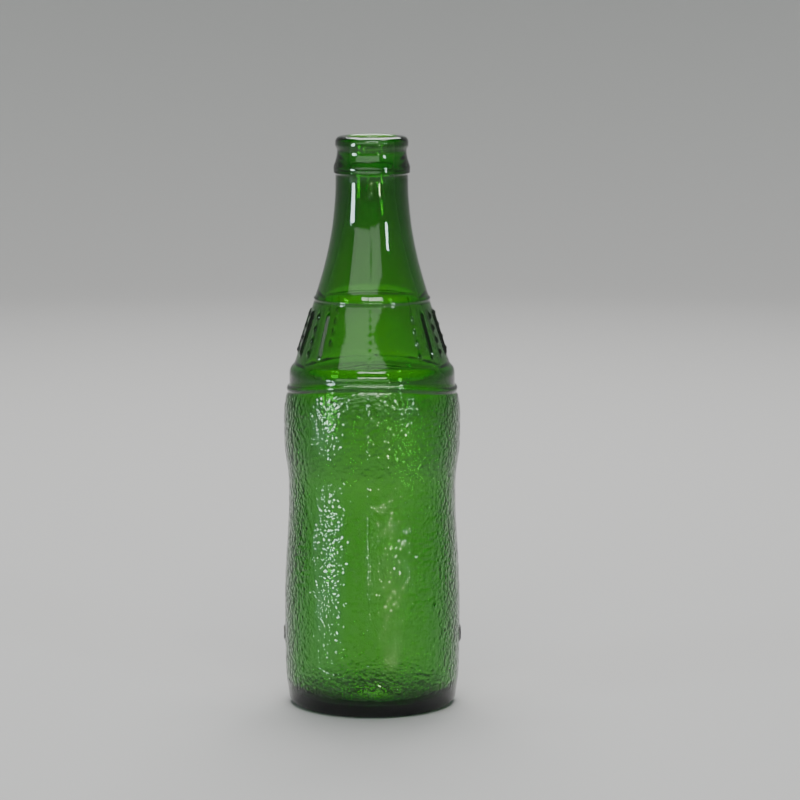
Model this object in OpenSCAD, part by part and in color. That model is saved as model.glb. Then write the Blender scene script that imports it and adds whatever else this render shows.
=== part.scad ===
// Uncapped glass soda bottle with a crown finish, pinched waist and belted shoulder.
// It is one moulding. Each module is the stretch of glass between two of its
// natural edges, so the stretches meet face to face and share one cavity.
// The mould's parting plane is x = 0 and the bottle stands on z = 0.

/* [Overall] */
// Height from the bearing ring to the top of the lip
height = 208.5; // [205:0.5:214]
// Largest diameter of the upper and lower bulges
body_d = 64.2; // [63:0.2:66]
// Diameter at the pinched waist
waist_d = 60.9; // [59:0.1:62]
// Wall thickness at the bulges
wall = 3.5; // [3:0.1:4]

/* [Finish] */
// Diameter of the locking ring that a crown cap grips
locking_ring_d = 26.6; // [26.2:0.1:26.8]
// Height of the locking ring's cylindrical land
locking_land = 1.2; // [0.8:0.1:1.6]
// Diameter at the root of the groove under the locking ring
groove_d = 25.2; // [24.8:0.1:25.6]
// Diameter of the reinforcing collar under the groove
collar_d = 27.9; // [27.4:0.1:28.6]
// Diameter of the throat that a filling tube enters
throat_d = 16.6; // [15.6:0.2:17]
// Length of the throat's straight bore
throat_l = 19; // [16:0.5:21]

/* [Shoulder and belt] */
// Diameter of the narrow part of the neck
neck_d = 26.4; // [26:0.1:26.8]
// Diameter of the plain belt at the foot of the shoulder
belt_d = 60.4; // [59.6:0.2:61]
// Diameter over the bead that edges the belt
bead_d = 62.4; // [62:0.1:63.2]
// Radius of the arch that the bead follows, seen from the front
arch_r = 120; // [110:5:160]
// How far the fine neck ring stands out
neck_ring_rise = 0.45; // [0.3:0.05:0.7]

/* [Side panels] */
// Number of ribs in each side panel
rib_count = 8; // [4:1:9]
// Angle between neighbouring ribs, in degrees
rib_pitch = 13.5; // [10:0.5:14]
// Width of a rib as an angle, in degrees
rib_angle = 4.5; // [3:0.5:6]
// How far the ribs stand out
rib_rise = 0.8; // [0.4:0.1:1]

/* [Base] */
// Height of the push-up under the base
push_up_h = 3.5; // [3:0.5:5]
// Glass thickness at the middle of the floor
floor_t = 4; // [3.5:0.5:6]
// How far the two index lugs stand out
lug_rise = 0.6; // [0.3:0.1:0.8]
// How far the two small raised marks stand out
mark_rise = 0.4; // [0.2:0.1:0.6]
// How far the mould seams stand out
seam_rise = 0.2; // [0.1:0.05:0.3]

/* [Hidden] */
$fn = 96;
emerald = [0.05, 0.42, 0.12, 0.6];
bright_emerald = [0.1, 0.6, 0.2, 0.6];

// Heights of the edges between stretches, from the top down
land_top_z = height - 2.2;
land_foot_z = land_top_z - locking_land;
groove_foot_z = height - 8.5;
collar_foot_z = height - 14.3;
neck_ring_z = 150;
neck_ring_w = 1.6;
shoulder_foot_z = 127;
belt_top_z = 123.6;
// Crests of the arched bead and of the body's arched top edge, on the parting plane
bead_top_z = 122.3;
bead_foot_z = 119.9;
crown_top_z = 119.4;
crown_foot_z = 110;
upper_foot_z = 86;
waist_foot_z = 55;
bulge_foot_z = 16;
heel_top_z = 10;
throat_z = height - 1.5 - throat_l;

// Radii
body_r = body_d / 2;
waist_r = waist_d / 2;
neck_r = neck_d / 2;
belt_r = belt_d / 2;
ring_r = locking_ring_d / 2;
groove_r = groove_d / 2;
collar_r = collar_d / 2;
throat_r = throat_d / 2;
mouth_round = 1.5;
lip_round = 2.2;

// Heel and floor
heel_round = 3;
heel_round_r = 27.8;
heel_lean = 8;
bearing_r = 24.3;
floor_corner = 6;
floor_r = body_r - wall - floor_corner;
floor_edge_z = heel_top_z - floor_corner;

// Outer line of the body as [height, radius, slope], each a hand-set station
body_line = [
    [heel_round * (1 - sin(heel_lean)), heel_round_r + heel_round * cos(heel_lean), 0.14],
    [bulge_foot_z, body_r - 0.2, 0.02],
    [37, body_r, 0],
    [waist_foot_z, body_r - 0.6, -0.05],
    [76, waist_r, 0],
    [upper_foot_z, waist_r + 0.25, 0.09],
    [94.5, body_r - 0.25, 0.08],
    [103, body_r + 0.05, 0],
    [109, body_r - 0.05, -0.05],
    [115.4, body_r - 0.65, -0.13],
    [crown_top_z, body_r - 1.2, -0.16]];
// Outer line from the belt's top edge to the collar
neck_line = [
    [belt_top_z, belt_r - 0.2, -0.2],
    [125.1, belt_r - 1.05, -0.95],
    [shoulder_foot_z, belt_r - 2.2, -0.3],
    [148.2, 21.3, -0.29],
    [163.5, 16.9, -0.24],
    [178, neck_r + 1, -0.12],
    [190, neck_r + 0.05, -0.02],
    [collar_foot_z, neck_r, 0]];
// Inner line of the cavity from the heel to the throat
cavity_line = [
    [heel_top_z, floor_r + floor_corner, 0],
    [37, body_r - wall, 0],
    [76, waist_r - wall + 0.05, 0],
    [104, body_r - wall, 0],
    [116, body_r - wall - 0.9, -0.15],
    [shoulder_foot_z, 24.5, -0.32],
    [148.2, 17.7, -0.3],
    [163.5, 13.1, -0.26],
    [178, 9.8, -0.17],
    [throat_z, throat_r, 0]];

// Cubic between two stations
function hermite(a, b, z) =
    let (h = b[0] - a[0], t = (z - a[0]) / h, u = t * t * (3 - 2 * t))
    (1 - u) * a[1] + u * b[1] + h * t * (1 - t) * ((1 - t) * a[2] - t * b[2]);

// Radius of a line of stations at height z
function line_r(line, z, i = 0) =
    i < len(line) - 2 && z > line[i + 1][0]
        ? line_r(line, z, i + 1)
        : hermite(line[i], line[i + 1], z);

// Radius of the cavity at height z, which is constant in the throat
function cavity_r(z) = z >= throat_z ? throat_r : line_r(cavity_line, z);

// Even steps from a to b, both included
function steps(a, b, n) = [for (i = [0 : n]) a + (b - a) * i / n];

// Outline points along a line of stations, with the radius raised by rise
function skin(line, z0, z1, n, rise = 0) =
    [for (z = steps(z0, z1, n)) [line_r(line, z) + rise, z]];

// Outline points along the cavity wall
function bore(z0, z1, n) = [for (z = steps(z0, z1, n)) [cavity_r(z), z]];

// Points on an arc in the outline plane
function arc(c, r, a0, a1, n) =
    [for (a = steps(a0, a1, n)) c + r * [cos(a), sin(a)]];

// Full turn of an outer line from z0 to z1 with the cavity behind it
module stretch(outside, z0, z1, n) {
    color(emerald)
    rotate_extrude()
    polygon(concat(outside, bore(z1, z0, n)));
}

// Thin raised strip that follows a line between two heights, centred on a bearing
module strip(line, z0, z1, n, bearing, spread, rise) {
    rotate([0, 0, bearing - spread / 2])
    rotate_extrude(angle = spread)
    polygon(concat(skin(line, z0, z1, n, rise), skin(line, z1, z0, n)));
}

// Rounded sealing surface above the locking ring
module sealing_lip() {
    outside = arc([ring_r - lip_round, land_top_z], lip_round, 0, 90, 6);
    inside = arc([throat_r + mouth_round, height - mouth_round], mouth_round, 90, 180, 5);
    color(emerald)
    rotate_extrude()
    polygon(concat(outside, inside, [[throat_r, land_top_z]]));
}

// Cylindrical land that the crown's skirt is crimped round
module locking_ring() {
    stretch([[ring_r, land_foot_z], [ring_r, land_top_z]], land_foot_z, land_top_z, 1);
}

// Undercut that the crown's skirt is crimped into
module crown_groove() {
    groove_line = [
        [groove_foot_z, groove_r + 0.5, -0.25],
        [groove_foot_z + 3.1, groove_r, 0],
        [land_foot_z, ring_r, 0.6]];
    stretch(skin(groove_line, groove_foot_z, land_foot_z, 10), groove_foot_z, land_foot_z, 1);
}

// Reinforcing collar with a sloping top and a sharp lower edge
module collar_ring() {
    rim_top_z = collar_foot_z + 3;
    rim_foot_z = collar_foot_z + 1;
    slope_line = [
        [rim_top_z, collar_r, -0.1],
        [groove_foot_z, groove_r + 0.5, -0.25]];
    under = arc([neck_r + 0.75, rim_foot_z - 1], 0.75, 180, 100, 3);
    outside = concat(under, [[collar_r, rim_foot_z]], skin(slope_line, rim_top_z, groove_foot_z, 5));
    stretch(outside, collar_foot_z, groove_foot_z, 1);
}

// Tapering neck from the fine ring up to the collar
module neck() {
    foot_z = neck_ring_z + neck_ring_w / 2;
    color(emerald)
    rotate_extrude()
    polygon(concat(
        skin(neck_line, foot_z, collar_foot_z, 14),
        [[throat_r, collar_foot_z], [throat_r, throat_z]],
        bore(throat_z - 0.5, foot_z, 12)));
}

// Fine raised ring where the neck meets the shoulder
module neck_ring() {
    foot_z = neck_ring_z - neck_ring_w / 2;
    top_z = neck_ring_z + neck_ring_w / 2;
    bulge = [for (i = [0 : 6])
        let (z = foot_z + neck_ring_w * i / 6)
        [line_r(neck_line, z) + neck_ring_rise * sin(180 * i / 6), z]];
    stretch(bulge, foot_z, top_z, 2);
}

// Conical shoulder that carries the side panels
module shoulder() {
    top_z = neck_ring_z - neck_ring_w / 2;
    stretch(skin(neck_line, shoulder_foot_z, top_z, 8), shoulder_foot_z, top_z, 8);
}

// One side's panel: ribs alternate with columns of small studs
module panel_ribs(side) {
    panel_z = [130, 145.5];
    stud_w = 2.2;
    stud_count = 4;
    stud_z = steps(panel_z[0], panel_z[1] - stud_w, stud_count - 1);
    color(bright_emerald)
    for (i = [0 : rib_count - 1]) {
        bearing = side + rib_pitch * (i - (rib_count - 1) / 2);
        if (i % 2 == 1) {
            strip(neck_line, panel_z[0], panel_z[1], 6, bearing, rib_angle, rib_rise);
        } else {
            for (z = stud_z)
                strip(neck_line, z, z + stud_w, 1, bearing, rib_angle, rib_rise);
        }
    }
}

module left_panel_ribs() panel_ribs(180);

module right_panel_ribs() panel_ribs(0);

// Flare from the cone out to the belt
module shoulder_step() {
    stretch(skin(neck_line, belt_top_z, shoulder_foot_z, 6), belt_top_z, shoulder_foot_z, 3);
}

// Plain cylindrical belt, which runs down inside the body's crown
module belt() {
    face = [[belt_r, crown_foot_z], [belt_r, belt_top_z - 1], [belt_r - 0.2, belt_top_z]];
    stretch(face, crown_foot_z, belt_top_z, 6);
}

// Everything under an arch that spans the bottle from side to side, with its crest at z
module under_arch(z) {
    translate([0, 0, z - arch_r])
    rotate([90, 0, 0])
    cylinder(r = arch_r, h = 2 * body_d, center = true);
}

// Raised bead round the belt, highest on the parting plane and lowest at the sides
module belt_bead() {
    shelf_r = bead_d / 2;
    color(emerald)
    difference() {
        intersection() {
            rotate_extrude()
            polygon([[belt_r, crown_foot_z], [shelf_r, crown_foot_z], [shelf_r, bead_top_z - 0.3],
                [belt_r, bead_top_z]]);
            under_arch(bead_top_z);
        }
        under_arch(bead_foot_z);
    }
}

// Arched top edge of the pebbled body, just under the bead
module body_crown() {
    color(emerald)
    intersection() {
        rotate_extrude()
        polygon(concat([[belt_r, crown_foot_z]], skin(body_line, crown_foot_z, crown_top_z, 7),
            [[belt_r, crown_top_z]]));
        under_arch(crown_top_z);
    }
}

// Upper bulge
module upper_body() {
    stretch(skin(body_line, upper_foot_z, crown_foot_z, 14), upper_foot_z, crown_foot_z, 10);
}

// Pinched waist
module waist() {
    stretch(skin(body_line, waist_foot_z, upper_foot_z, 12), waist_foot_z, upper_foot_z, 8);
}

// Lower bulge
module lower_body() {
    stretch(skin(body_line, heel_top_z, waist_foot_z, 12), heel_top_z, waist_foot_z, 8);
}

// One low lug on each side above the heel
module index_lugs() {
    lug_z = [22.8, 28.4];
    lug_angle = 7;
    color(bright_emerald)
    for (side = [0, 180])
        strip(body_line, lug_z[0], lug_z[1], 3, side, lug_angle, lug_rise);
}

// Two small raised marks side by side on the front, above the heel
module raised_marks() {
    mark_z = [39, 41.5];
    mark_angle = 3;
    color(bright_emerald)
    for (bearing = [-60.5, -43])
        strip(body_line, mark_z[0], mark_z[1], 2, bearing, mark_angle, mark_rise);
}

// Height of the underside at radius r, zero on the bearing ring
function under_z(r) = r >= bearing_r ? 0 : push_up_h * cos(90 * r / bearing_r);

// Height of the floor inside at radius r, from its corner to its raised middle
function floor_z(r) =
    floor_edge_z + (push_up_h + floor_t - floor_edge_z) * (1 + cos(180 * r / floor_r)) / 2;

// Rounded heel with the flat bearing ring and the corner of the floor
module heel() {
    underside = [for (r = steps(floor_r, bearing_r, 4)) [r, under_z(r)]];
    corner = arc([floor_r, heel_top_z], floor_corner, 0, -90, 8);
    rise = arc([heel_round_r, heel_round], heel_round, -90, -heel_lean, 7);
    flank = skin(body_line, body_line[0][0] + 1, heel_top_z, 6);
    color(emerald)
    rotate_extrude()
    polygon(concat(underside, rise, flank, corner));
}

// Domed middle of the base
module push_up() {
    color(emerald)
    rotate_extrude()
    polygon(concat(
        [for (r = steps(0, floor_r, 8)) [r, under_z(r)]],
        [for (r = steps(floor_r, 0, 8)) [r, floor_z(r)]]));
}

// Hairline of glass left where the mould halves meet
module mould_seam(bearing) {
    seam_angle = 0.9;
    neck_seam_angle = 1.6;
    color(bright_emerald) {
        strip(body_line, 5, crown_top_z - 0.6, 24, bearing, seam_angle, seam_rise);
        strip(neck_line, belt_top_z + 0.6, neck_ring_z - 1.4, 8, bearing, seam_angle, seam_rise);
        strip(neck_line, neck_ring_z + 1.4, collar_foot_z - 0.6, 12, bearing, neck_seam_angle,
            seam_rise);
    }
}

module front_mould_seam() mould_seam(-90);

module back_mould_seam() mould_seam(90);

sealing_lip();
locking_ring();
crown_groove();
collar_ring();
neck();
neck_ring();
shoulder();
left_panel_ribs();
right_panel_ribs();
shoulder_step();
belt();
belt_bead();
body_crown();
upper_body();
waist();
lower_body();
index_lugs();
raised_marks();
heel();
push_up();
front_mould_seam();
back_mould_seam();
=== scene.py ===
"""Visual model of an uncapped green glass soda bottle.

The bottle is one moulding, so one closed glass mesh stands for all the CAD stretches. Each class
below holds the sizes of one region of the glass and lays out that region's rows of the turned
outline. One Geometry Nodes tree turns the outline round the axis and a second one raises the
mould's relief on it: ribs, studs, pebbles, seams, lugs and the knurled foot.
"""

import logging
import math
from dataclasses import dataclass, field
from enum import Enum
from typing import Callable, Sequence, Union

import bpy
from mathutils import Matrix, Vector


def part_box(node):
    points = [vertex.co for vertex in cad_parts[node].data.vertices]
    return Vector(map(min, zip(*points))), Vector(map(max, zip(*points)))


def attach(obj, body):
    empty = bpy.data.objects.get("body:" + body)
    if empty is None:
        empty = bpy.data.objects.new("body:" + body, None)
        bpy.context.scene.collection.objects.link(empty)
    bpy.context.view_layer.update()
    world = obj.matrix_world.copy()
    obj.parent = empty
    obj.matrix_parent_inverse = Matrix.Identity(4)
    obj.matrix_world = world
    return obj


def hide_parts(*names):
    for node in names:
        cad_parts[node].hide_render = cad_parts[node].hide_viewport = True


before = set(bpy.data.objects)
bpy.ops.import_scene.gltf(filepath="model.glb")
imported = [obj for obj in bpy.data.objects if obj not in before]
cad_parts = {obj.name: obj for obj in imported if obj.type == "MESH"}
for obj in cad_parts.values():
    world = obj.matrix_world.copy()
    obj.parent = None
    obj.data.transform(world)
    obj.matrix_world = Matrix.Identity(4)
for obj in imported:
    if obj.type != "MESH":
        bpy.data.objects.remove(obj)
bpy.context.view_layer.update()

log = logging.getLogger("bottle")

MM = 0.001


class Side(Enum):
    """Which surface of the glass a row of the outline lies on."""

    OUTSIDE = 1.0
    INSIDE = 0.0


@dataclass(frozen=True)
class Station:
    """A point that a smooth line passes through, in millimetres."""

    z: float
    r: float
    slope: float


@dataclass(frozen=True)
class Row:
    """One ring of the turned glass, in millimetres, with its share of each relief."""

    r: float
    z: float
    side: Side = Side.OUTSIDE
    wander: float = 1.0
    pebble: float = 0.0
    knurl: float = 0.0


@dataclass(frozen=True)
class Line:
    """A smooth line of stations in order of height."""

    stations: tuple[Station, ...]

    def radius(self, z: float) -> float:
        """Work out the radius at a height by a cubic between the stations on either side.

        Args:
            z: Height in millimetres.

        Returns:
            The radius in millimetres.
        """
        last = len(self.stations) - 2
        i = next((k for k in range(last) if z <= self.stations[k + 1].z), last)
        a, b = self.stations[i], self.stations[i + 1]
        h = b.z - a.z
        t = (z - a.z) / h
        u = t * t * (3 - 2 * t)
        bend = h * t * (1 - t) * ((1 - t) * a.slope - t * b.slope)
        return (1 - u) * a.r + u * b.r + bend

    def rows(self, z0: float, z1: float, pitch: float, side: Side = Side.OUTSIDE,
             pebble: Callable[[float], float] = lambda z: 0.0) -> list[Row]:
        """Lay rows along the line from z0 up or down to z1, z1 left out.

        Args:
            z0: Height of the first row in millimetres.
            z1: Height at which the next region starts.
            pitch: Largest spacing of the rows.
            side: The surface the rows lie on.
            pebble: Gives the share of pebbling at a height.

        Returns:
            The rows in order.
        """
        n = max(1, math.ceil(abs(z1 - z0) / pitch))
        heights = [z0 + (z1 - z0) * i / n for i in range(n)]
        return [Row(self.radius(z), z, side, pebble=pebble(z)) for z in heights]


def arc_rows(r: float, z: float, radius: float, start: float, end: float, n: int,
             side: Side = Side.OUTSIDE, wander: float = 1.0) -> list[Row]:
    """Lay n + 1 rows on an arc of the outline.

    Args:
        r: Distance of the arc's centre from the axis, in millimetres.
        z: Height of the arc's centre.
        radius: Radius of the arc.
        start: First angle in degrees, from outwards towards up.
        end: Last angle in degrees.
        n: Number of steps.
        side: The surface the rows lie on.
        wander: How freely the rows wander from their true place.

    Returns:
        The rows in order.
    """
    turns = [math.radians(start + (end - start) * i / n) for i in range(n + 1)]
    return [Row(r + radius * math.cos(a), z + radius * math.sin(a), side, wander) for a in turns]


def node_span(node: str) -> tuple[float, float, float]:
    """Read a CAD stretch's lowest height, highest height and half width in millimetres."""
    low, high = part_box(node)
    return low.z / MM, high.z / MM, high.x / MM


def smooth_step(x: float) -> float:
    """Ease from 0 to 1 as x goes from 0 to 1."""
    x = min(max(x, 0.0), 1.0)
    return x * x * (3 - 2 * x)


@dataclass
class Arch:
    """The arch that lifts the belt's bead and the body's top edge at the front and back.

    Rows are laid out as they run at the bottle's sides, where the lift is zero.
    """

    radius: float = 120.0
    ring_r: float = 31.2
    foot_z: float = 100.0
    full_z: float = 113.5

    def side_z(self, crest_z: float) -> float:
        """Give the height at the sides of an arched line whose crest is known."""
        return crest_z - self.ring_r ** 2 / (2 * self.radius)


@dataclass
class Base:
    """The push-up, the bearing ring and the rounded heel."""

    bearing_r: float = 24.3
    push_up_h: float = 3.5
    heel_round: float = 3.0
    heel_round_r: float = 27.8
    heel_lean: float = 8.0
    floor_corner: float = 6.0
    ring_rows: int = 5
    dome_rows: int = 6

    def __post_init__(self) -> None:
        """Take the floor's middle and its corner from the CAD push-up."""
        self.top_z = node_span("heel")[1]
        _, self.floor_mid_z, self.floor_r = node_span("push_up")
        self.floor_edge_z = self.top_z - self.floor_corner

    def outer_rows(self) -> list[Row]:
        """Lay the underside from its middle, the knurled ring and the heel's round.

        Returns:
            The rows from the axis out and up to the foot of the wall.
        """
        dome = [self.bearing_r * i / self.dome_rows for i in range(self.dome_rows)]
        under = [Row(r, self.push_up_h * math.cos(math.pi / 2 * r / self.bearing_r), wander=0.0)
                 for r in dome]
        width = self.heel_round_r - self.bearing_r
        ring = [Row(self.bearing_r + width * i / self.ring_rows, 0.0, wander=0.0,
                    knurl=math.sin(math.pi * i / self.ring_rows))
                for i in range(self.ring_rows)]
        heel = arc_rows(self.heel_round_r, self.heel_round, self.heel_round,
                        -90, -self.heel_lean, 7, wander=0.0)
        return under + ring + heel

    def inner_rows(self) -> list[Row]:
        """Lay the floor's corner and its dome.

        Returns:
            The rows from the wall down and in to the axis.
        """
        corner = arc_rows(self.floor_r, self.top_z, self.floor_corner, 0, -90, 8, Side.INSIDE)
        rise = self.floor_mid_z - self.floor_edge_z
        reach = [self.floor_r * (1 - i / self.dome_rows) for i in range(1, self.dome_rows + 1)]
        dome = [Row(r, self.floor_edge_z + rise * (1 + math.cos(math.pi * r / self.floor_r)) / 2,
                    Side.INSIDE) for r in reach]
        return corner + dome


@dataclass
class Body:
    """The lower bulge, the waist and the upper bulge, all pebbled."""

    waist_r: float = 30.45
    bulge_foot: float = 16.0
    row_pitch: float = 0.84
    plain_foot: float = 5.0
    fade: float = 5.0
    crown_fade: float = 1.2

    def __post_init__(self) -> None:
        """Take the heights and the bulge radius from the CAD stretches."""
        _, lower_top, bulge_r = node_span("lower_body")
        upper_foot = node_span("upper_body")[0]
        self.top_z = Arch().side_z(node_span("body_crown")[1])
        base = Base()
        lean = math.radians(base.heel_lean)
        self.foot_z = base.heel_round * (1 - math.sin(lean))
        foot_r = base.heel_round_r + base.heel_round * math.cos(lean)
        self.line = Line((
            Station(self.foot_z, foot_r, 0.14),
            Station(self.bulge_foot, bulge_r - 0.2, 0.02),
            Station(37, bulge_r, 0),
            Station(lower_top, bulge_r - 0.6, -0.05),
            Station(76, self.waist_r, 0),
            Station(upper_foot, self.waist_r + 0.25, 0.09),
            Station(94.5, bulge_r - 0.25, 0.08),
            Station(103, bulge_r + 0.05, 0),
            Station(109, bulge_r - 0.05, -0.05),
            Station(112.5, bulge_r - 0.5, -0.2),
            Station(self.top_z, bulge_r - 1.25, -0.45)))

    def pebble_share(self, z: float) -> float:
        """Fade the pebbling out towards the heel and the belt.

        Args:
            z: Height in millimetres.

        Returns:
            The share of full pebbling, from 0 to 1.
        """
        low = smooth_step((z - self.plain_foot) / self.fade)
        high = smooth_step((self.top_z - z) / self.crown_fade)
        return low * high

    def outer_rows(self) -> list[Row]:
        """Lay the pebbled wall from the heel's round to the belt bead."""
        first = self.foot_z + self.row_pitch
        return self.line.rows(first, self.top_z, self.row_pitch, pebble=self.pebble_share)


@dataclass
class Belt:
    """The bead with its notch, the plain belt and its rounded top edge."""

    bead_round: float = 1.35
    bead_drop: float = 1.5
    notch: float = 0.2
    fillet: float = 0.7

    def __post_init__(self) -> None:
        """Take the heights at the sides and the radii from the CAD belt."""
        arch = Arch()
        self.top_z, self.belt_r = node_span("belt")[1:]
        self.bead_top_z = arch.side_z(node_span("belt_bead")[1])
        self.bead_outer_r = node_span("belt_bead")[2]
        self.foot_z = arch.side_z(node_span("body_crown")[1])

    def outer_rows(self) -> list[Row]:
        """Lay the notch, the bead and the belt's plain face.

        Returns:
            The rows from the bottom up.
        """
        bead_r = self.bead_outer_r - self.bead_round
        bead_z = self.bead_top_z - self.bead_drop
        notch = [Row(bead_r + 0.95, self.foot_z), Row(bead_r + 0.93, self.foot_z + self.notch)]
        bead = arc_rows(bead_r, bead_z, self.bead_round, -42, 72, 11)
        flank = [Row(self.belt_r + 0.12, self.bead_top_z - 0.05),
                 Row(self.belt_r + 0.04, self.bead_top_z + 0.25),
                 Row(self.belt_r, self.bead_top_z + self.fillet)]
        face = [Row(self.belt_r, self.bead_top_z + 2), Row(self.belt_r, self.top_z - 1.6),
                Row(self.belt_r - 0.02, self.top_z - 1), Row(self.belt_r - 0.08, self.top_z - 0.5)]
        return notch + bead + flank + face


@dataclass
class Shoulder:
    """The step, the cone that carries the side panels, the fine ring and the tapering neck."""

    neck_r: float = 13.2
    ring_rise: float = 0.45
    ring_rows: int = 6
    step_pitch: float = 0.4
    cone_pitch: float = 0.8
    neck_pitch: float = 2.5

    def __post_init__(self) -> None:
        """Take the heights from the CAD shoulder and neck."""
        self.foot_z, self.step_top_z, _ = node_span("shoulder_step")
        belt_r = node_span("belt")[2]
        self.ring_foot_z, self.ring_top_z, _ = node_span("neck_ring")
        self.top_z, _, _ = node_span("collar_ring")
        self.line = Line((
            Station(self.foot_z, belt_r - 0.2, -0.2),
            Station(125.1, belt_r - 1.05, -0.95),
            Station(self.step_top_z, belt_r - 2.2, -0.3),
            Station(148.2, 21.3, -0.29),
            Station(163.5, 16.9, -0.24),
            Station(178, self.neck_r + 1, -0.12),
            Station(190, self.neck_r + 0.05, -0.02),
            Station(self.top_z, self.neck_r, 0)))

    def outer_rows(self) -> list[Row]:
        """Lay the step, the cone, the ring's half-round and the neck.

        Returns:
            The rows from the bottom up.
        """
        step = self.line.rows(self.foot_z, self.step_top_z, self.step_pitch)
        cone = self.line.rows(self.step_top_z, self.ring_foot_z, self.cone_pitch)
        width = self.ring_top_z - self.ring_foot_z
        ring = [Row(self.line.radius(self.ring_foot_z + width * t)
                    + self.ring_rise * math.sin(math.pi * t), self.ring_foot_z + width * t)
                for t in (i / self.ring_rows for i in range(self.ring_rows))]
        neck = self.line.rows(self.ring_top_z, self.top_z, self.neck_pitch)
        return step + cone + ring + neck


@dataclass
class Finish:
    """The collar, the crown groove, the locking ring, the lip and the throat."""

    groove_r: float = 12.6
    throat_r: float = 8.3
    mouth_round: float = 1.5
    lip_round: float = 2.2
    sweep_pitch: float = 0.65
    throat_rows: int = 4

    def __post_init__(self) -> None:
        """Take the heights and radii from the CAD finish."""
        self.foot_z, self.groove_foot_z, self.collar_r = node_span("collar_ring")
        self.land_foot_z, self.land_top_z, self.ring_r = node_span("locking_ring")
        self.height = node_span("sealing_lip")[1]

    def outer_rows(self) -> list[Row]:
        """Lay the collar, the groove, the land and the rounded lip.

        Returns:
            The rows from the collar up to the lip's flat top.
        """
        under = arc_rows(self.collar_r, self.foot_z + 0.25, 0.75, 180, 110, 3)
        rim = arc_rows(self.collar_r - 0.3, self.foot_z + 1.3, 0.3, -60, 60, 3)
        slope = Line((
            Station(self.foot_z + 3, self.collar_r, -0.1),
            Station(self.groove_foot_z, self.groove_r + 0.5, -0.25),
            Station(self.groove_foot_z + 3.1, self.groove_r, 0),
            Station(self.land_foot_z, self.ring_r, 0.6)))
        sweep = slope.rows(self.foot_z + 3, self.land_foot_z, self.sweep_pitch)
        land = [Row(self.ring_r, self.land_foot_z), Row(self.ring_r, self.land_foot_z + 0.6)]
        lip = arc_rows(self.ring_r - self.lip_round, self.land_top_z, self.lip_round, 0, 90, 7)
        return under + rim + sweep + land + lip

    def inner_rows(self, throat_foot_z: float) -> list[Row]:
        """Lay the mouth's round and the straight throat.

        Args:
            throat_foot_z: Height at which the throat starts to widen.

        Returns:
            The rows from the mouth down to the throat's foot, the foot left out.
        """
        mouth = arc_rows(self.throat_r + self.mouth_round, self.height - self.mouth_round,
                         self.mouth_round, 90, 180, 5, Side.INSIDE)
        top = self.height - self.mouth_round
        step = (top - throat_foot_z) / self.throat_rows
        bore = [Row(self.throat_r, top - step * i, Side.INSIDE)
                for i in range(1, self.throat_rows)]
        return mouth + bore


@dataclass
class Cavity:
    """The inner wall between the throat and the floor's corner."""

    wall: float = 3.5
    throat_l: float = 19.0
    row_pitch: float = 9.0

    def inner_rows(self, finish: Finish, body: Body, base: Base) -> list[Row]:
        """Lay the inner wall from the throat down to the floor's corner.

        Args:
            finish: The finish that the throat belongs to.
            body: The body whose wall this backs.
            base: The base that the wall runs into.

        Returns:
            The rows from the top down, the corner's first row left out.
        """
        bulge_r = node_span("lower_body")[2]
        shoulder_foot = node_span("shoulder")[0]
        foot = finish.height - finish.mouth_round - self.throat_l
        line = Line((
            Station(base.top_z, base.floor_r + base.floor_corner, 0),
            Station(37, bulge_r - self.wall, 0),
            Station(76, body.waist_r - self.wall + 0.05, 0),
            Station(104, bulge_r - self.wall, 0),
            Station(116, bulge_r - self.wall - 0.9, -0.15),
            Station(shoulder_foot, 24.5, -0.32),
            Station(148.2, 17.7, -0.3),
            Station(163.5, 13.1, -0.26),
            Station(178, 9.8, -0.17),
            Station(foot, finish.throat_r, 0)))
        throat = finish.inner_rows(foot)
        return throat + line.rows(foot, base.top_z, self.row_pitch, Side.INSIDE)


Value = Union[float, bpy.types.NodeSocket]


def add_node(tree: bpy.types.NodeTree, kind: str, links: dict[Union[str, int], object],
             settings: dict[str, object]) -> bpy.types.Node:
    """Add a node to a tree, set its properties and fill its inputs.

    Args:
        tree: The tree to add to.
        kind: The node's type name.
        links: Input name or index to a socket or a plain value.
        settings: Properties of the node.

    Returns:
        The new node.
    """
    made = tree.nodes.new(kind)
    for key, value in settings.items():
        setattr(made, key, value)
    for key, value in links.items():
        if isinstance(value, bpy.types.NodeSocket):
            tree.links.new(value, made.inputs[key])
        else:
            made.inputs[key].default_value = value
    return made


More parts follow.
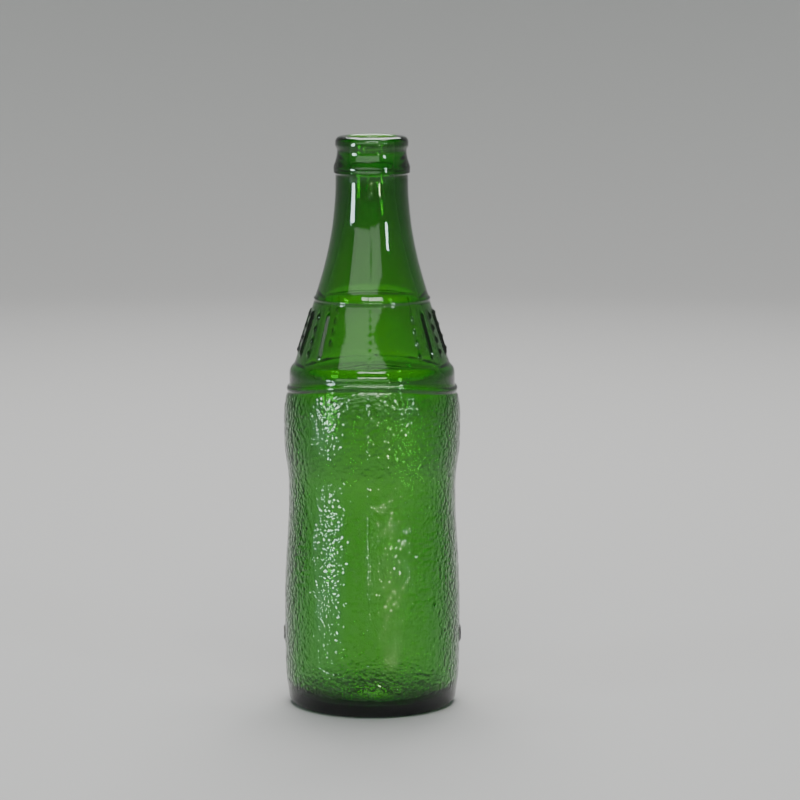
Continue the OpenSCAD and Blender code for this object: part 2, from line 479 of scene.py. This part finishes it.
class Tree:
    """A Geometry Nodes tree that is built one call at a time."""

    def __init__(self, name: str, inputs: Sequence[tuple[str, str, object]]) -> None:
        """Start a modifier tree with a geometry input and output and the named inputs.

        Args:
            name: The tree's name.
            inputs: Name, socket type and value of each input.
        """
        self.tree = bpy.data.node_groups.new(name, "GeometryNodeTree")
        self.tree.is_modifier = True
        face = self.tree.interface
        face.new_socket(name="Geometry", in_out="INPUT", socket_type="NodeSocketGeometry")
        self.values = {}
        for label, kind, value in inputs:
            item = face.new_socket(name=label, in_out="INPUT", socket_type=kind)
            self.values[item.identifier] = value
        face.new_socket(name="Geometry", in_out="OUTPUT", socket_type="NodeSocketGeometry")
        self.start = self.tree.nodes.new("NodeGroupInput")
        self.end = self.tree.nodes.new("NodeGroupOutput")

    def input(self, label: str) -> bpy.types.NodeSocket:
        """Give the socket of a named input."""
        return self.start.outputs[label]

    def node(self, kind: str, links: dict[Union[str, int], Value],
             **settings: object) -> bpy.types.Node:
        """Add a node, set its properties and fill its inputs.

        Args:
            kind: The node's type name.
            links: Input name or index to a socket or a plain value.
            settings: Properties of the node.

        Returns:
            The new node.
        """
        return add_node(self.tree, kind, links, settings)

    def math(self, operation: str, *values: Value, clamp: bool = False) -> bpy.types.NodeSocket:
        """Add a Math node.

        Args:
            operation: The node's operation.
            values: The operands in order.
            clamp: Whether to hold the result between 0 and 1.

        Returns:
            The node's result.
        """
        made = self.node("ShaderNodeMath", dict(enumerate(values)), operation=operation,
                         use_clamp=clamp)
        return made.outputs[0]

    def eased(self, value: Value, low: Value, high: Value) -> bpy.types.NodeSocket:
        """Ease from 0 to 1 as a value goes from low to high.

        Args:
            value: The value to follow.
            low: Where the result is 0.
            high: Where the result is 1. It may be below low.

        Returns:
            The eased share.
        """
        made = self.node("ShaderNodeMapRange",
                         {"Value": value, "From Min": low, "From Max": high},
                         interpolation_type="SMOOTHSTEP")
        return made.outputs["Result"]

    def named(self, label: str) -> bpy.types.NodeSocket:
        """Read a number stored on the points."""
        made = self.node("GeometryNodeInputNamedAttribute", {"Name": label}, data_type="FLOAT")
        return made.outputs["Attribute"]

    def finish_with(self, geometry: bpy.types.NodeSocket, material: bpy.types.Material) -> None:
        """End the tree in Realize Instances and Set Material.

        Args:
            geometry: The socket that holds the result.
            material: The material of every face.
        """
        real = self.node("GeometryNodeRealizeInstances", {"Geometry": geometry})
        smooth = self.node("GeometryNodeSetShadeSmooth", {"Geometry": real.outputs[0]})
        dressed = self.node("GeometryNodeSetMaterial", {"Geometry": smooth.outputs[0]})
        dressed.inputs["Material"].default_value = material
        self.tree.links.new(dressed.outputs[0], self.end.inputs[0])

    def apply(self, piece: bpy.types.Object, name: str) -> bpy.types.Object:
        """Run the tree on a piece and turn the result into a plain mesh object.

        Args:
            piece: The object that gives the tree its geometry. It is removed.
            name: Name of the new object.

        Returns:
            The new object, without modifiers.
        """
        modifier = piece.modifiers.new(self.tree.name, "NODES")
        modifier.node_group = self.tree
        for identifier, value in self.values.items():
            modifier[identifier] = value
        graph = bpy.context.evaluated_depsgraph_get()
        mesh = bpy.data.meshes.new_from_object(piece.evaluated_get(graph))
        mesh.name = name
        made = bpy.data.objects.new(name, mesh)
        bpy.context.scene.collection.objects.link(made)
        bpy.data.objects.remove(piece)
        return made


@dataclass
class TurnedGlass:
    """Turns the outline round the axis into one closed mesh."""

    segments: int = 320
    weld: float = 0.0005
    arch: Arch = field(default_factory=Arch)

    def tree(self, material: bpy.types.Material) -> Tree:
        """Build the tree: a grid whose columns are turned copies of the outline's points.

        Args:
            material: The glass.

        Returns:
            The finished tree.
        """
        t = Tree("turned_glass", [
            ("Segments", "NodeSocketInt", self.segments),
            ("Weld Distance", "NodeSocketFloat", self.weld * MM),
            ("Arch Radius", "NodeSocketFloat", self.arch.radius * MM)])
        outline = t.start.outputs["Geometry"]
        size = t.node("GeometryNodeAttributeDomainSize", {"Geometry": outline}, component="MESH")
        rows = size.outputs["Point Count"]
        columns = t.math("ADD", t.input("Segments"), 1.0)
        grid = t.node("GeometryNodeMeshGrid", {"Vertices X": columns, "Vertices Y": rows})
        index = t.node("GeometryNodeInputIndex", {}).outputs[0]
        column = t.math("FLOOR", t.math("DIVIDE", index, rows))
        row = t.math("MODULO", index, rows)
        place = t.node("GeometryNodeInputPosition", {}).outputs[0]
        point = t.node("GeometryNodeSampleIndex",
                       {"Geometry": outline, "Value": place, "Index": row},
                       data_type="FLOAT_VECTOR", domain="POINT")
        spun = t.node("ShaderNodeVectorRotate", {
            "Vector": point.outputs["Value"],
            "Angle": t.math("DIVIDE", t.math("MULTIPLY", column, math.tau), t.input("Segments"))},
            rotation_type="Z_AXIS")
        shape = grid.outputs["Mesh"]
        for label in ("outside", "wander", "pebble", "knurl"):
            share = t.node("GeometryNodeSampleIndex",
                           {"Geometry": outline, "Value": t.named(label), "Index": row},
                           data_type="FLOAT", domain="POINT")
            stored = t.node("GeometryNodeStoreNamedAttribute",
                            {"Geometry": shape, "Name": label, "Value": share.outputs["Value"]},
                            data_type="FLOAT", domain="POINT")
            shape = stored.outputs["Geometry"]
        moved = t.node("GeometryNodeSetPosition",
                       {"Geometry": shape, "Position": spun.outputs[0]})
        lifted = t.node("GeometryNodeSetPosition",
                        {"Geometry": moved.outputs[0], "Offset": self.lift(t)})
        welded = t.node("GeometryNodeMergeByDistance",
                        {"Geometry": lifted.outputs[0], "Distance": t.input("Weld Distance")})
        t.finish_with(welded.outputs[0], material)
        return t

    def lift(self, t: Tree) -> bpy.types.NodeSocket:
        """Lift the belt's bead and the body's top edge into their arch.

        Args:
            t: The tree to add to.

        Returns:
            The offset of each point.
        """
        belt = Belt()
        place = t.node("GeometryNodeInputPosition", {}).outputs[0]
        axes = t.node("ShaderNodeSeparateXYZ", {0: place})
        y, z = axes.outputs[1], axes.outputs[2]
        double = t.math("MULTIPLY", t.input("Arch Radius"), 2.0)
        rise = t.math("DIVIDE", t.math("MULTIPLY", y, y), double)
        low = t.eased(z, self.arch.foot_z * MM, self.arch.full_z * MM)
        high = t.node("ShaderNodeMapRange", {"Value": z, "From Min": (belt.top_z - 0.4) * MM,
                                             "From Max": (belt.bead_top_z + 0.2) * MM})
        share = t.math("MULTIPLY", t.math("MULTIPLY", low, high.outputs[0]), t.named("outside"))
        return t.node("ShaderNodeCombineXYZ", {2: t.math("MULTIPLY", rise, share)}).outputs[0]


@dataclass
class MouldRelief:
    """What the mould's cut surface raises on the turned glass, in millimetres and degrees."""

    rib_count: int = 8
    rib_pitch: float = 13.5
    rib_half: float = 2.25
    rib_rise: float = 0.8
    panel_foot: float = 130.0
    panel_top: float = 145.5
    panel_edge: float = 1.0
    stud_count: int = 4
    stud_half: float = 1.3
    pebble_wide: float = 2.7
    pebble_tall: float = 2.3
    pebble_rise: float = 0.165
    pebble_reach: float = 0.72
    pebble_random: float = 0.75
    half_shift: float = 50.0
    seam_rise: float = 0.28
    seam_half: float = 0.6
    seam_step: float = 2.7
    lug_rise: float = 0.6
    lug_foot: float = 22.8
    lug_top: float = 28.4
    lug_half: float = 3.75
    lug_edge: float = 0.6
    lug_blend: float = 1.0
    marks: tuple[float, ...] = (-60.5, -43.0)
    mark_z: float = 40.25
    mark_rise: float = 0.5
    mark_wide: float = 0.9
    mark_tall: float = 1.5
    mark_lean: float = 0.5
    knurl_depth: float = 0.25
    knurl_count: int = 72
    sway_out: float = 0.06
    sway_in: float = 0.22
    sway_wave: float = 24.0
    seed: float = 7.0

    def tree(self, material: bpy.types.Material) -> Tree:
        """Build the tree that moves each point along its normal by the relief's height.

        Args:
            material: The glass.

        Returns:
            The finished tree.
        """
        number = "NodeSocketFloat"
        t = Tree("mould_relief", [
            ("Rib Rise", number, self.rib_rise),
            ("Pebble Rise", number, self.pebble_rise),
            ("Seam Rise", number, self.seam_rise),
            ("Lug Rise", number, self.lug_rise),
            ("Mark Rise", number, self.mark_rise),
            ("Knurl Depth", number, self.knurl_depth),
            ("Sway Outside", number, self.sway_out),
            ("Sway Inside", number, self.sway_in),
            ("Seed", number, self.seed)])
        place = t.node("GeometryNodeInputPosition", {}).outputs[0]
        in_mm = t.node("ShaderNodeVectorMath", {0: place, 3: 1 / MM}, operation="SCALE").outputs[0]
        axes = t.node("ShaderNodeSeparateXYZ", {0: in_mm}).outputs
        half = t.math("SIGN", t.math("ADD", axes[0], 1e-4))
        turn = t.math("ARCTAN2", t.math("MULTIPLY", axes[1], half), t.math("ABSOLUTE", axes[0]))
        degrees = t.math("DEGREES", turn)
        outside = t.named("outside")
        heights = [
            self.panels(t, degrees, axes[2]),
            self.pebbles(t, turn, half, axes[2]),
            self.seams(t, axes[0], axes[2]),
            self.lugs(t, degrees, axes[2]),
            self.small_marks(t, t.math("ARCTAN2", axes[1], axes[0]), axes[2]),
        ]
        raised = heights[0]
        for height in heights[1:]:
            raised = t.math("ADD", raised, height)
        raised = t.math("MULTIPLY", raised, outside)
        raised = t.math("SUBTRACT", raised, self.knurl(t, axes[0], axes[1]))
        raised = t.math("ADD", raised, self.sway(t, in_mm, outside))
        normal = t.node("GeometryNodeInputNormal", {}).outputs[0]
        offset = t.node("ShaderNodeVectorMath",
                        {0: normal, 3: t.math("MULTIPLY", raised, MM)}, operation="SCALE")
        moved = t.node("GeometryNodeSetPosition",
                       {"Geometry": t.start.outputs["Geometry"], "Offset": offset.outputs[0]})
        t.finish_with(moved.outputs[0], material)
        return t

    def panels(self, t: Tree, degrees: Value, z: Value) -> bpy.types.NodeSocket:
        """Raise the ribs and the columns of studs of both side panels.

        Args:
            t: The tree to add to.
            degrees: Bearing from the middle of the nearer panel.
            z: Height in millimetres.

        Returns:
            The height to add.
        """
        last = self.rib_count - 1
        slot = t.math("ADD", t.math("DIVIDE", degrees, self.rib_pitch), last / 2)
        nearest = t.math("MINIMUM", t.math("MAXIMUM", t.math("ROUND", slot), 0.0), float(last))
        aside = t.math("DIVIDE", t.math("SUBTRACT", slot, nearest), self.rib_half / self.rib_pitch)
        aside = t.math("MULTIPLY", aside, aside)
        crown = t.math("MAXIMUM", t.math("SUBTRACT", 1.0, aside), 0.0)
        low = t.eased(z, self.panel_foot - self.panel_edge / 2, self.panel_foot + self.panel_edge / 2)
        high = t.eased(z, self.panel_top + self.panel_edge / 2, self.panel_top - self.panel_edge / 2)
        rib = t.math("MULTIPLY", crown, t.math("MULTIPLY", low, high))
        first = self.panel_foot + self.stud_half
        gap = (self.panel_top - self.panel_foot - 2 * self.stud_half) / (self.stud_count - 1)
        stud = t.math("DIVIDE", t.math("SUBTRACT", z, first), gap)
        level = t.math("ROUND", stud)
        level = t.math("MINIMUM", t.math("MAXIMUM", level, 0.0), float(self.stud_count - 1))
        off = t.math("MULTIPLY", t.math("SUBTRACT", stud, level), gap / self.stud_half)
        dome = t.math("SUBTRACT", t.math("SUBTRACT", 1.0, aside), t.math("MULTIPLY", off, off))
        dome = t.math("MAXIMUM", dome, 0.0)
        odd = t.math("MODULO", nearest, 2.0)
        even = t.math("SUBTRACT", 1.0, odd)
        both = t.math("ADD", t.math("MULTIPLY", rib, odd), t.math("MULTIPLY", dome, even))
        return t.math("MULTIPLY", both, t.input("Rib Rise"))

    def pebbles(self, t: Tree, turn: Value, half: Value, z: Value) -> bpy.types.NodeSocket:
        """Raise the irregular pebbles, laid out from each half's own middle.

        Args:
            t: The tree to add to.
            turn: Bearing in radians from the middle of the nearer half.
            half: 1 on one mould half and -1 on the other.
            z: Height in millimetres.

        Returns:
            The height to add.
        """
        round_r = node_span("lower_body")[2]
        across = t.math("MULTIPLY", turn, round_r / self.pebble_wide)
        across = t.math("ADD", across, t.math("MULTIPLY", half, self.half_shift))
        up = t.math("DIVIDE", z, self.pebble_tall)
        where = t.node("ShaderNodeCombineXYZ", {0: across, 1: up, 2: t.input("Seed")}).outputs[0]
        cells = t.node("ShaderNodeTexVoronoi",
                       {"Vector": where, "Scale": 1.0, "Randomness": self.pebble_random},
                       voronoi_dimensions="2D", feature="F1")
        dome = t.eased(cells.outputs["Distance"], self.pebble_reach, 0.0)
        share = t.math("MULTIPLY", t.named("pebble"), t.input("Pebble Rise"))
        return t.math("MULTIPLY", dome, share)

    def seams(self, t: Tree, x: Value, z: Value) -> bpy.types.NodeSocket:
        """Raise the two hairline seams, a little stepped along their height.

        Args:
            t: The tree to add to.
            x: Distance from the mould's parting plane in millimetres.
            z: Height in millimetres.

        Returns:
            The height to add.
        """
        near = t.math("SUBTRACT", 1.0, t.math("DIVIDE", t.math("ABSOLUTE", x), self.seam_half))
        ridge = t.math("MAXIMUM", near, 0.0)
        beat = t.math("SINE", t.math("MULTIPLY", z, math.tau / self.seam_step))
        level = t.math("ADD", 0.7, t.math("MULTIPLY", beat, 0.3))
        low, high = node_span("front_mould_seam")[:2]
        span = t.math("MULTIPLY", t.eased(z, low, low + 2), t.eased(z, high, high - 2))
        ridge = t.math("MULTIPLY", t.math("MULTIPLY", ridge, level), span)
        return t.math("MULTIPLY", ridge, t.input("Seam Rise"))

    def lugs(self, t: Tree, degrees: Value, z: Value) -> bpy.types.NodeSocket:
        """Raise one low lug in the middle of each half, above the heel.

        Args:
            t: The tree to add to.
            degrees: Bearing from the middle of the nearer half.
            z: Height in millimetres.

        Returns:
            The height to add.
        """
        low = t.eased(z, self.lug_foot - self.lug_edge, self.lug_foot + self.lug_edge)
        high = t.eased(z, self.lug_top + self.lug_edge, self.lug_top - self.lug_edge)
        away = t.math("ABSOLUTE", degrees)
        side = t.eased(away, self.lug_half + self.lug_blend, self.lug_half - self.lug_blend)
        lug = t.math("MULTIPLY", t.math("MULTIPLY", low, high), side)
        return t.math("MULTIPLY", lug, t.input("Lug Rise"))

    def small_marks(self, t: Tree, bearing: Value, z: Value) -> bpy.types.NodeSocket:
        """Raise two small leaning ovals side by side on the front.

        Args:
            t: The tree to add to.
            bearing: Bearing round the whole bottle in radians.
            z: Height in millimetres.

        Returns:
            The height to add.
        """
        round_r = node_span("lower_body")[2]
        up = t.math("SUBTRACT", z, self.mark_z)
        along = t.math("DIVIDE", up, self.mark_tall)
        total: Value = 0.0
        for mark in self.marks:
            across = t.math("MULTIPLY", t.math("SUBTRACT", bearing, math.radians(mark)), round_r)
            across = t.math("SUBTRACT", across, t.math("MULTIPLY", up, self.mark_lean))
            across = t.math("DIVIDE", across, self.mark_wide)
            away = t.math("ADD", t.math("MULTIPLY", across, across), t.math("MULTIPLY", along, along))
            total = t.math("ADD", total, t.eased(away, 1.0, 0.0))
        return t.math("MULTIPLY", total, t.input("Mark Rise"))

    def knurl(self, t: Tree, x: Value, y: Value) -> bpy.types.NodeSocket:
        """Cut short notches round the bearing ring.

        Args:
            t: The tree to add to.
            x: Place across the bottle.
            y: Place from front to back.

        Returns:
            The depth to take away.
        """
        turn = t.math("MULTIPLY", t.math("ARCTAN2", y, x), float(self.knurl_count))
        notch = t.math("MAXIMUM", t.math("SINE", turn), 0.0)
        share = t.math("MULTIPLY", t.named("knurl"), t.input("Knurl Depth"))
        return t.math("MULTIPLY", notch, share)

    def sway(self, t: Tree, place: Value, outside: Value) -> bpy.types.NodeSocket:
        """Let both walls wander slowly, as blown glass does.

        Args:
            t: The tree to add to.
            place: Place on the object in millimetres.
            outside: 1 on the outer wall and 0 on the inner one.

        Returns:
            The height to add.
        """
        wave = t.node("ShaderNodeTexNoise",
                      {"Vector": place, "W": t.input("Seed"), "Scale": 1 / self.sway_wave,
                       "Detail": 1.0}, noise_dimensions="4D")
        swing = t.math("SUBTRACT", t.math("MULTIPLY", wave.outputs[0], 2.0), 1.0)
        mix = t.node("ShaderNodeMix", {"Factor": outside, "A": t.input("Sway Inside"),
                                       "B": t.input("Sway Outside")}, data_type="FLOAT")
        return t.math("MULTIPLY", t.math("MULTIPLY", swing, mix.outputs[0]), t.named("wander"))


class Net:
    """A material's nodes, added one call at a time."""

    def __init__(self, tree: bpy.types.NodeTree) -> None:
        """Take the tree to add to."""
        self.tree = tree

    def link(self, source: bpy.types.NodeSocket, target: bpy.types.NodeSocket) -> None:
        """Join an output to an input."""
        self.tree.links.new(source, target)

    def node(self, kind: str, links: dict[Union[str, int], object],
             **settings: object) -> bpy.types.Node:
        """Add a node, set its properties and fill its inputs.

        Args:
            kind: The node's type name.
            links: Input name or index to a socket or a plain value.
            settings: Properties of the node.

        Returns:
            The new node.
        """
        return add_node(self.tree, kind, links, settings)

    def math(self, operation: str, *values: Value) -> bpy.types.NodeSocket:
        """Add a Math node and give its result."""
        return self.node("ShaderNodeMath", dict(enumerate(values)), operation=operation).outputs[0]

    def named(self, label: str) -> bpy.types.NodeSocket:
        """Read a number stored on the mesh."""
        return self.node("ShaderNodeAttribute", {}, attribute_name=label).outputs["Fac"]

    def ranged(self, value: Value, source: tuple[float, float],
               target: tuple[float, float]) -> bpy.types.NodeSocket:
        """Map a value from one range to another, held at both ends.

        Args:
            value: The value to map.
            source: The range it comes from.
            target: The range it goes to.

        Returns:
            The mapped value.
        """
        made = self.node("ShaderNodeMapRange", {
            "Value": value, "From Min": source[0], "From Max": source[1],
            "To Min": target[0], "To Max": target[1]})
        return made.outputs[0]


@dataclass(frozen=True)
class GreenGlass:
    """Emerald soda-lime glass, clear inside and lightly handled on its surface."""

    ior: float = 1.52
    clear: tuple[float, float, float, float] = (0.97, 1.0, 0.97, 1.0)
    absorb: tuple[float, float, float, float] = (0.47, 0.8, 0.1, 1.0)
    density: float = 850.0
    polish: float = 0.02
    scuff: float = 0.035
    scuff_scale: float = 0.09
    scuff_span: tuple[float, float] = (0.5, 0.8)
    stipple_pitch: float = 1.4
    stipple_rise: float = 0.28
    peel_share: float = 0.06
    peel_scale: float = 0.45
    seam_half: float = 0.45
    seam_step: float = 2.7

    def material(self) -> bpy.types.Material:
        """Build the glass with its absorption, its scuffs and its fine stipple.

        Returns:
            The material.
        """
        made = bpy.data.materials.new("green_glass")
        made.use_nodes = True
        net = Net(made.node_tree)
        skin = made.node_tree.nodes["Principled BSDF"]
        out = made.node_tree.nodes["Material Output"]
        skin.inputs["Base Color"].default_value = self.clear
        skin.inputs["Transmission Weight"].default_value = 1.0
        skin.inputs["IOR"].default_value = self.ior
        depth = net.node("ShaderNodeVolumeAbsorption",
                         {"Color": self.absorb, "Density": self.density})
        net.link(depth.outputs[0], out.inputs["Volume"])
        place = net.node("ShaderNodeTexCoord", {}).outputs["Object"]
        in_mm = net.node("ShaderNodeVectorMath", {0: place, 3: 1 / MM}, operation="SCALE").outputs[0]
        net.link(self.roughness(net, in_mm), skin.inputs["Roughness"])
        bump = net.node("ShaderNodeBump", {"Height": self.height(net, in_mm), "Strength": 1.0,
                                           "Distance": self.stipple_rise * MM})
        net.link(bump.outputs[0], skin.inputs["Normal"])
        return made

    def roughness(self, net: Net, in_mm: bpy.types.NodeSocket) -> bpy.types.NodeSocket:
        """Roughen the skin in scuffed patches.

        Args:
            net: The material's nodes.
            in_mm: Place on the object in millimetres.

        Returns:
            The roughness.
        """
        marks = net.node("ShaderNodeTexNoise",
                         {"Vector": in_mm, "Scale": self.scuff_scale, "Detail": 6.0})
        return net.ranged(marks.outputs[0], self.scuff_span, (self.polish, self.scuff))

    def height(self, net: Net, in_mm: bpy.types.NodeSocket) -> bpy.types.NodeSocket:
        """Raise a stipple between the pebbles, a faint orange-peel and the beaded seam lines.

        Args:
            net: The material's nodes.
            in_mm: Place on the object in millimetres.

        Returns:
            The height as a share of the stipple's rise.
        """
        cells = net.node("ShaderNodeTexVoronoi",
                         {"Vector": in_mm, "Scale": 1 / self.stipple_pitch, "Smoothness": 0.4},
                         feature="SMOOTH_F1")
        dome = net.math("SUBTRACT", 1.0, cells.outputs["Distance"])
        stipple = net.math("MULTIPLY", dome, net.named("pebble"))
        peel = net.node("ShaderNodeTexNoise",
                        {"Vector": in_mm, "Scale": self.peel_scale, "Detail": 2.0})
        axes = net.node("ShaderNodeSeparateXYZ", {0: in_mm}).outputs
        near = net.ranged(net.math("ABSOLUTE", axes[0]), (self.seam_half, 0.0), (0.0, 1.0))
        beat = net.math("SINE", net.math("MULTIPLY", axes[2], math.tau / self.seam_step))
        beads = net.math("MULTIPLY", near, net.math("MULTIPLY_ADD", beat, 0.35, 0.5))
        seam = net.math("MULTIPLY", beads, net.named("pebble"))
        skin = net.math("MULTIPLY_ADD", peel.outputs[0], self.peel_share, stipple)
        return net.math("ADD", skin, seam)


@dataclass
class Bottle:
    """The whole moulding, gathered from its regions."""

    base: Base = field(default_factory=Base)
    body: Body = field(default_factory=Body)
    belt: Belt = field(default_factory=Belt)
    shoulder: Shoulder = field(default_factory=Shoulder)
    finish: Finish = field(default_factory=Finish)
    cavity: Cavity = field(default_factory=Cavity)
    turned: TurnedGlass = field(default_factory=TurnedGlass)
    relief: MouldRelief = field(default_factory=MouldRelief)
    glass: GreenGlass = field(default_factory=GreenGlass)

    def rows(self) -> list[Row]:
        """Gather the whole outline.

        Returns:
            The rows from the middle of the underside round to the middle of the floor.
        """
        outside = (self.base.outer_rows() + self.body.outer_rows() + self.belt.outer_rows()
                   + self.shoulder.outer_rows() + self.finish.outer_rows())
        inside = self.cavity.inner_rows(self.finish, self.body, self.base)
        return outside + inside + self.base.inner_rows()

    def outline(self) -> bpy.types.Object:
        """Make the outline a line of points that carry each row's shares of the relief.

        Returns:
            The outline's object.
        """
        rows = self.rows()
        mesh = bpy.data.meshes.new("outline")
        points = [(row.r * MM, 0.0, row.z * MM) for row in rows]
        mesh.from_pydata(points, [(i, i + 1) for i in range(len(rows) - 1)], [])
        shares = {"outside": [row.side.value for row in rows],
                  "wander": [row.wander for row in rows],
                  "pebble": [row.pebble for row in rows],
                  "knurl": [row.knurl for row in rows]}
        for label, values in shares.items():
            layer = mesh.attributes.new(label, "FLOAT", "POINT")
            layer.data.foreach_set("value", values)
        made = bpy.data.objects.new("outline", mesh)
        bpy.context.scene.collection.objects.link(made)
        return made

    def build(self) -> bpy.types.Object:
        """Turn the outline, raise the relief and dress the glass.

        Returns:
            The finished piece.
        """
        material = self.glass.material()
        plain = self.turned.tree(material).apply(self.outline(), "turned")
        piece = self.relief.tree(material).apply(plain, "bottle_glass")
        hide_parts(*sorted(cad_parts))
        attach(piece, "root")
        return piece


@dataclass
class SoftBox:
    """A square studio lamp that faces the bottle."""

    name: str
    bearing: float
    height: float
    distance: float
    size: tuple[float, float]
    power: float
    colour: tuple[float, float, float] = (1.0, 1.0, 1.0)

    def build(self, target: Vector) -> bpy.types.Object:
        """Hang the lamp and point it at the target.

        Args:
            target: The point it faces.

        Returns:
            The lamp's object.
        """
        data = bpy.data.lights.new(self.name, "AREA")
        data.shape = "RECTANGLE"
        data.size, data.size_y = self.size
        data.energy = self.power
        data.color = self.colour
        lamp = bpy.data.objects.new(self.name, data)
        bpy.context.scene.collection.objects.link(lamp)
        a = math.radians(self.bearing)
        lamp.location = (self.distance * math.sin(a), -self.distance * math.cos(a), self.height)
        lamp.rotation_euler = (target - lamp.location).to_track_quat("-Z", "Y").to_euler()
        return lamp


@dataclass
class Studio:
    """The pale floor, the soft lamps, the sky and the camera."""

    floor_r: float = 1.3
    cove_r: float = 0.6
    cove_steps: int = 16
    segments: int = 96
    wall_h: float = 2.2
    floor_tone: tuple[float, float, float, float] = (0.33, 0.326, 0.32, 1.0)
    sky_tone: tuple[float, float, float, float] = (0.8, 0.82, 0.85, 1.0)
    sky_power: float = 0.17
    camera_distance: float = 1.2
    camera_height: float = 0.2905
    camera_bearing: float = 2.5
    camera_pitch: float = 8.455
    camera_yaw: float = 0.486
    lens: float = 149.5

    def floor(self) -> None:
        """Lay the pale round floor and curve it up into a wall. It isn't part of the object."""
        turns = [math.pi / 2 * i / self.cove_steps for i in range(self.cove_steps + 1)]
        line = [(self.floor_r + self.cove_r * math.sin(a), self.cove_r * (1 - math.cos(a)))
                for a in turns]
        line = [(self.floor_r / 3, 0.0)] + line + [(self.floor_r + self.cove_r, self.wall_h)]
        around = [math.tau * i / self.segments for i in range(self.segments)]
        points = [(r * math.cos(a), r * math.sin(a), z) for r, z in line for a in around]
        n = self.segments
        faces = [tuple(range(n))]
        faces += [(n * k + i, n * (k + 1) + i, n * (k + 1) + (i + 1) % n, n * k + (i + 1) % n)
                  for k in range(len(line) - 1) for i in range(n)]
        mesh = bpy.data.meshes.new("floor")
        mesh.from_pydata(points, [], faces)
        mesh.polygons.foreach_set("use_smooth", [True] * len(faces))
        made = bpy.data.objects.new("floor", mesh)
        bpy.context.scene.collection.objects.link(made)
        paint = bpy.data.materials.new("pale_floor")
        paint.use_nodes = True
        skin = paint.node_tree.nodes["Principled BSDF"]
        skin.inputs["Base Color"].default_value = self.floor_tone
        skin.inputs["Roughness"].default_value = 0.9
        mesh.materials.append(paint)

    def sky(self) -> None:
        """Fill the room with soft pale light."""
        world = bpy.data.worlds.new("studio")
        world.use_nodes = True
        back = world.node_tree.nodes["Background"]
        back.inputs["Color"].default_value = self.sky_tone
        back.inputs["Strength"].default_value = self.sky_power
        bpy.context.scene.world = world

    def lamps(self) -> None:
        """Hang the small boxes at the sides and the broad ones behind and overhead."""
        cool = (0.72, 0.93, 1.0)
        target = Vector((0, 0, 0.12))
        for lamp in (
            SoftBox("left_box", -57.0, 0.185, 1.5, (0.31, 0.35), 14.0, cool),
            SoftBox("right_box", 45.0, 0.487, 1.5, (0.17, 0.2), 5.0, cool),
            SoftBox("low_box", 26.0, 0.09, 1.5, (0.05, 0.18), 5.0, (0.78, 1.0, 0.5)),
            SoftBox("front_box", -12.0, 0.65, 1.35, (2.1, 0.46), 5.4),
            SoftBox("high_box", 2.5, 1.0, 0.75, (0.7, 0.3), 8.0),
            SoftBox("top_box", 180.0, 1.6, 0.35, (1.2, 0.7), 30.0),
            SoftBox("rear_box", 180.0, 1.1, 0.95, (0.9, 0.5), 17.0),
        ):
            lamp.build(target)

    def camera(self) -> None:
        """Stand the camera in front, a little above the bottle's middle."""
        data = bpy.data.cameras.new("camera")
        data.lens = self.lens
        made = bpy.data.objects.new("camera", data)
        bpy.context.scene.collection.objects.link(made)
        a = math.radians(self.camera_bearing)
        made.location = (self.camera_distance * math.sin(a), -self.camera_distance * math.cos(a),
                         self.camera_height)
        made.rotation_euler = (math.radians(90 - self.camera_pitch), 0.0,
                               a - math.radians(self.camera_yaw))
        bpy.context.scene.camera = made

    def build(self) -> None:
        """Set the whole stage."""
        self.camera()
        self.floor()
        self.sky()
        self.lamps()


def write_sizes() -> None:
    """Define a helper that turns a box's corners into lists of numbers; nothing is written."""
    def plain(box: Sequence[Sequence[float]]) -> list[list[float]]:
        """Turn a box's corners into lists of numbers."""
        return [[float(v) for v in corner] for corner in box]


def main() -> None:
    """Build the stage and the bottle, and report each piece."""
    logging.basicConfig(level=logging.INFO, format="%(name)s: %(message)s")
    Studio().build()
    piece = Bottle().build()
    log.info("%s: %d faces", piece.name, len(piece.data.polygons))
    write_sizes()


if __name__ == "__main__":
    main()
